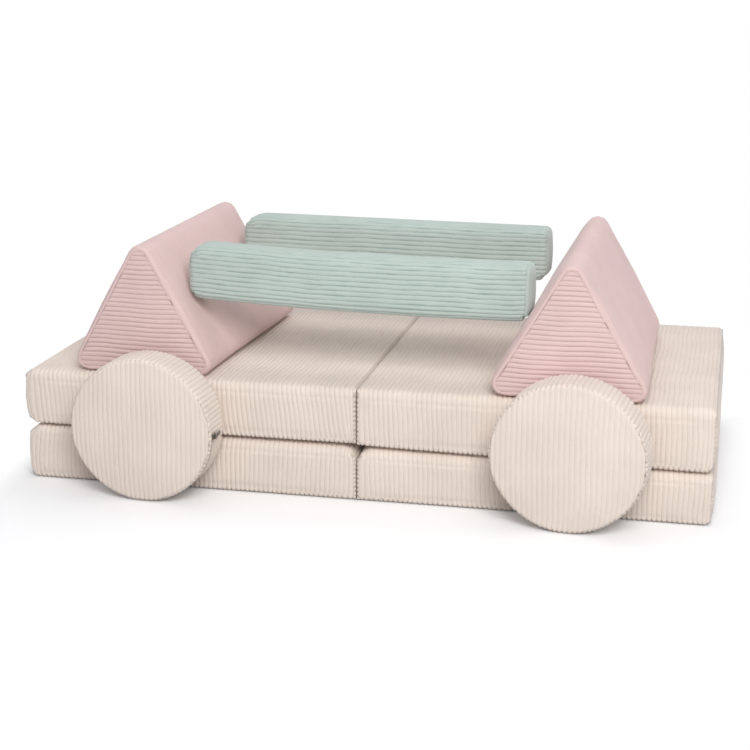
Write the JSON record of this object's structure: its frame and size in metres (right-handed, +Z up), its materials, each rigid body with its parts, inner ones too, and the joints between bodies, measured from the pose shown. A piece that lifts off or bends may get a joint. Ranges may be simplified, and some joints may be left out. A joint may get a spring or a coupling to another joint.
{
  "type": "modular foam play sofa",
  "caption": "Modular play sofa of fabric-covered foam blocks: folding mattresses as the seat, triangle blocks at the sides, bars laid across them and discs against the front.",
  "frame": {"origin": "on the floor under the middle of the whole sofa's bounding box", "axes": "+X along the mattresses to the sofa's right as seen from the front, +Y from the front to the back, +Z up"},
  "size_m": [1.2102, 0.7022, 0.4269],
  "materials": {
    "cream_corduroy": "soft ribbed corduroy, matt",
    "pink_corduroy": "soft ribbed corduroy, matt",
    "mint_corduroy": "soft ribbed corduroy, matt",
    "hinge_cloth": "plain woven cloth, matt",
    "foam": "open-cell foam",
    "zip_tape": "woven nylon zip chain",
    "zip_metal": "die-cast, nickel finish"
  },
  "bodies": {
    "mat_lower_left": {"mat_lower_left_cover": "cream_corduroy", "mat_lower_left_core": "foam", "mat_lower_left_zip": "zip_tape", "mat_lower_hinge_strip": "hinge_cloth"},
    "mat_lower_right": {"mat_lower_right_cover": "cream_corduroy", "mat_lower_right_core": "foam", "mat_lower_right_zip": "zip_tape"},
    "mat_upper_left": {"mat_upper_left_cover": "cream_corduroy", "mat_upper_left_core": "foam", "mat_upper_left_zip": "zip_tape", "mat_upper_hinge_strip": "hinge_cloth"},
    "mat_upper_right": {"mat_upper_right_cover": "cream_corduroy", "mat_upper_right_core": "foam", "mat_upper_right_zip": "zip_tape"},
    "triangle_left": {"triangle_left_cover": "pink_corduroy", "triangle_left_core": "foam", "triangle_left_zip": "zip_tape"},
    "triangle_right": {"triangle_right_cover": "pink_corduroy", "triangle_right_core": "foam", "triangle_right_zip": "zip_tape"},
    "bar_front": {"bar_front_cover": "mint_corduroy", "bar_front_core": "foam", "bar_front_zip": "zip_tape"},
    "bar_rear": {"bar_rear_cover": "mint_corduroy", "bar_rear_core": "foam", "bar_rear_zip": "zip_tape"},
    "disc_left": {"disc_left_cover": "cream_corduroy", "disc_left_core": "foam", "disc_left_zip": "zip_tape"},
    "disc_right": {"disc_right_cover": "cream_corduroy", "disc_right_core": "foam", "disc_right_zip": "zip_tape"},
    "mat_lower_left_slider": {"mat_lower_left_slider": "zip_metal"},
    "mat_lower_left_pull": {"mat_lower_left_pull": "zip_metal"},
    "mat_lower_right_slider": {"mat_lower_right_slider": "zip_metal"},
    "mat_lower_right_pull": {"mat_lower_right_pull": "zip_metal"},
    "mat_upper_left_slider": {"mat_upper_left_slider": "zip_metal"},
    "mat_upper_left_pull": {"mat_upper_left_pull": "zip_metal"},
    "mat_upper_right_slider": {"mat_upper_right_slider": "zip_metal"},
    "mat_upper_right_pull": {"mat_upper_right_pull": "zip_metal"},
    "triangle_left_slider": {"triangle_left_slider": "zip_metal"},
    "triangle_left_pull": {"triangle_left_pull": "zip_metal"},
    "triangle_right_slider": {"triangle_right_slider": "zip_metal"},
    "triangle_right_pull": {"triangle_right_pull": "zip_metal"},
    "bar_front_slider": {"bar_front_slider": "zip_metal"},
    "bar_front_pull": {"bar_front_pull": "zip_metal"},
    "bar_rear_slider": {"bar_rear_slider": "zip_metal"},
    "bar_rear_pull": {"bar_rear_pull": "zip_metal"},
    "disc_left_slider": {"disc_left_slider": "zip_metal"},
    "disc_left_pull": {"disc_left_pull": "zip_metal"},
    "disc_right_slider": {"disc_right_slider": "zip_metal"},
    "disc_right_pull": {"disc_right_pull": "zip_metal"}
  },
  "joints": [
    {"name": "lower_fold", "type": "hinge", "parent": "mat_lower_left", "child": "mat_lower_right", "pos_m": [0, 0.04475, -0.0005], "axis": [0, 1, 0], "range_deg": [0, 180], "deforming": ["mat_lower_hinge_strip"]},
    {"name": "upper_lift", "type": "slide", "parent": "mat_lower_left", "child": "mat_upper_left", "axis": [0, 0, 1], "range_m": [0, 0.6]},
    {"name": "upper_fold", "type": "hinge", "parent": "mat_upper_left", "child": "mat_upper_right", "pos_m": [0, 0.04475, 0.0998], "axis": [0, 1, 0], "range_deg": [0, 60], "deforming": ["mat_upper_hinge_strip"]},
    {"name": "bar_front_lift", "type": "slide", "parent": "mat_upper_left", "child": "bar_front", "axis": [0, 0, 1], "range_m": [0, 0.25]},
    {"name": "bar_rear_lift", "type": "slide", "parent": "mat_upper_left", "child": "bar_rear", "axis": [0, 0, 1], "range_m": [0, 0.25]},
    {"name": "triangle_left_lift", "type": "slide", "parent": "mat_upper_left", "child": "triangle_left", "axis": [-0.7071, 0, 0.7071], "range_m": [0, 0.3]},
    {"name": "triangle_right_lift", "type": "slide", "parent": "mat_upper_right", "child": "triangle_right", "axis": [0.7071, 0, 0.7071], "range_m": [0, 0.3]},
    {"name": "disc_left_pull_out", "type": "slide", "parent": "mat_lower_left", "child": "disc_left", "axis": [0, -0.7071, 0.7071], "range_m": [0, 0.3]},
    {"name": "disc_right_pull_out", "type": "slide", "parent": "mat_lower_left", "child": "disc_right", "axis": [0, -0.7071, 0.7071], "range_m": [0, 0.3]},
    {"name": "mat_lower_left_zip_run", "type": "slide", "parent": "mat_lower_left", "child": "mat_lower_left_slider", "axis": [1, 0, 0], "range_m": [0, 0.468]},
    {"name": "mat_lower_left_pull_swing", "type": "hinge", "parent": "mat_lower_left_slider", "child": "mat_lower_left_pull", "pos_m": [-0.53415, 0.34955, 0.026], "axis": [0, 0, 1], "range_deg": [0, 190]},
    {"name": "mat_lower_right_zip_run", "type": "slide", "parent": "mat_lower_right", "child": "mat_lower_right_slider", "axis": [-1, 0, 0], "range_m": [0, 0.468]},
    {"name": "mat_lower_right_pull_swing", "type": "hinge", "parent": "mat_lower_right_slider", "child": "mat_lower_right_pull", "pos_m": [0.53415, 0.34955, 0.026], "axis": [0, 0, -1], "range_deg": [0, 190]},
    {"name": "mat_upper_left_zip_run", "type": "slide", "parent": "mat_upper_left", "child": "mat_upper_left_slider", "axis": [1, 0, 0], "range_m": [0, 0.468]},
    {"name": "mat_upper_left_pull_swing", "type": "hinge", "parent": "mat_upper_left_slider", "child": "mat_upper_left_pull", "pos_m": [-0.53415, 0.34955, 0.1263], "axis": [0, 0, 1], "range_deg": [0, 190]},
    {"name": "mat_upper_right_zip_run", "type": "slide", "parent": "mat_upper_right", "child": "mat_upper_right_slider", "axis": [-1, 0, 0], "range_m": [0, 0.468]},
    {"name": "mat_upper_right_pull_swing", "type": "hinge", "parent": "mat_upper_right_slider", "child": "mat_upper_right_pull", "pos_m": [0.53415, 0.34955, 0.1263], "axis": [0, 0, -1], "range_deg": [0, 190]},
    {"name": "triangle_left_zip_run", "type": "slide", "parent": "triangle_left", "child": "triangle_left_slider", "axis": [0.9999, -0.011, 0], "range_m": [0, 0.168]},
    {"name": "triangle_left_pull_swing", "type": "hinge", "parent": "triangle_left_slider", "child": "triangle_left_pull", "pos_m": [-0.46325, 0.25246, 0.2286], "axis": [0, 0, 1], "range_deg": [0, 190]},
    {"name": "triangle_right_zip_run", "type": "slide", "parent": "triangle_right", "child": "triangle_right_slider", "axis": [1, 0.001, 0], "range_m": [0, 0.168]},
    {"name": "triangle_right_pull_swing", "type": "hinge", "parent": "triangle_right_slider", "child": "triangle_right_pull", "pos_m": [0.27375, 0.24146, 0.2286], "axis": [0, 0, 1], "range_deg": [0, 190]},
    {"name": "bar_front_zip_run", "type": "slide", "parent": "bar_front", "child": "bar_front_slider", "axis": [0.9994, -0.03, -0.016], "range_m": [0, 0.448]},
    {"name": "bar_front_pull_swing", "type": "hinge", "parent": "bar_front_slider", "child": "bar_front_pull", "pos_m": [-0.23795, -0.11924, 0.34912], "axis": [0.016, -0.0005, 0.9999], "range_deg": [0, 190]},
    {"name": "bar_rear_zip_run", "type": "slide", "parent": "bar_rear", "child": "bar_rear_slider", "axis": [0.9991, -0.043, -0.002], "range_m": [0, 0.448]},
    {"name": "bar_rear_pull_swing", "type": "hinge", "parent": "bar_rear_slider", "child": "bar_rear_pull", "pos_m": [-0.23365, 0.19764, 0.34705], "axis": [0.002, -0.0001, 1], "range_deg": [0, 190]},
    {"name": "disc_left_zip_run", "type": "hinge", "parent": "disc_left", "child": "disc_left_slider", "pos_m": [-0.35776, -0.31513, 0.125], "axis": [0.056, 0.9984, 0], "range_deg": [0, 55]},
    {"name": "disc_left_pull_swing", "type": "hinge", "parent": "disc_left_slider", "child": "disc_left_pull", "pos_m": [-0.22722, -0.32245, 0.12108], "axis": [-0.0299, 0.0017, -0.9996], "range_deg": [0, 190]},
    {"name": "disc_right_zip_run", "type": "hinge", "parent": "disc_right", "child": "disc_right_slider", "pos_m": [0.36895, -0.31767, 0.125], "axis": [0.0779, 0.997, 0], "range_deg": [0, 55]},
    {"name": "disc_right_pull_swing", "type": "hinge", "parent": "disc_right_slider", "child": "disc_right_pull", "pos_m": [0.27279, -0.31015, 0.03665], "axis": [-0.6734, 0.0526, 0.7374], "range_deg": [0, 190]}
  ],
  "couplings": [
    {"joint": "upper_fold", "follows": "upper_lift", "rad_per_m": 1.6}
  ]
}
